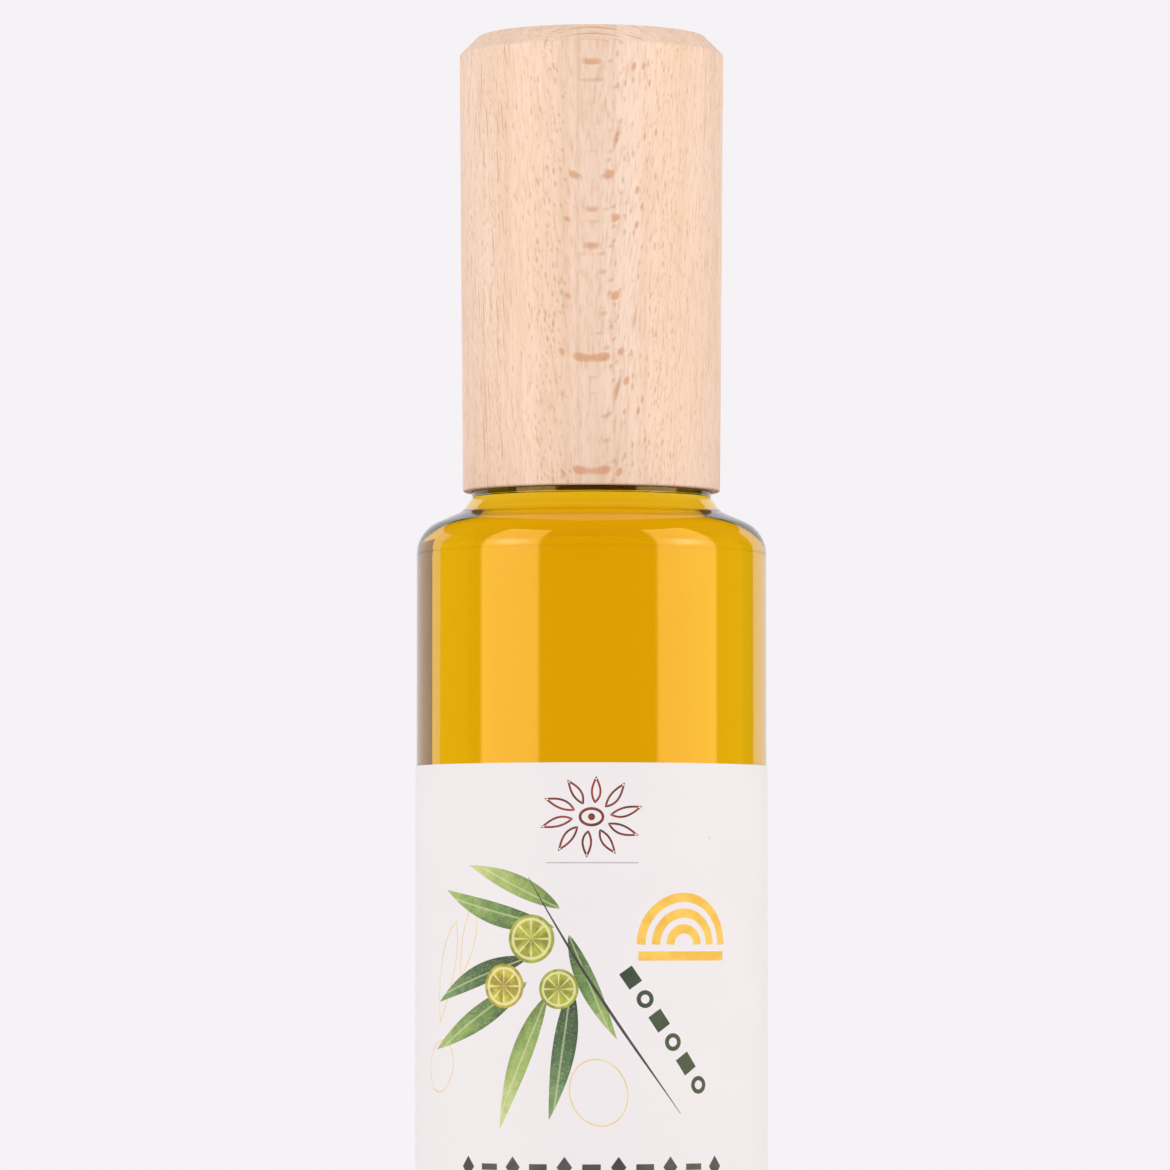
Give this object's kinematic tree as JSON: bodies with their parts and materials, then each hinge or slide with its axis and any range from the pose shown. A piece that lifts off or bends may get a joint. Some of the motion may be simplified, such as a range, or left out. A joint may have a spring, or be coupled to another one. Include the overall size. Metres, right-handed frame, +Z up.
{
  "type": "olive oil bottle",
  "caption": "Small round glass bottle full of golden olive oil, with a low shoulder, a tall turned wooden cap and a wrap-round paper label printed with plain leaf, disc and band shapes.",
  "frame": {"origin": "centre of the base ring that the bottle stands on", "axes": "+Z up along the bottle's axis, -Y towards the front, where the middle of the label is, +X to the right seen from the front"},
  "size_m": [0.0502, 0.0501, 0.2407],
  "materials": {
    "clear_glass": "clear, smooth and polished, colourless",
    "olive_oil": "clear golden yellow liquid",
    "beech": "turned and finely sanded, unvarnished, with small darker flecks",
    "paper": "matt white uncoated paper with printed shapes in olive green, ochre and dark green"
  },
  "bodies": {
    "root": {"bottle": "clear_glass", "oil": "olive_oil", "wooden_cap": "beech", "label": "paper"}
  },
  "joints": []
}
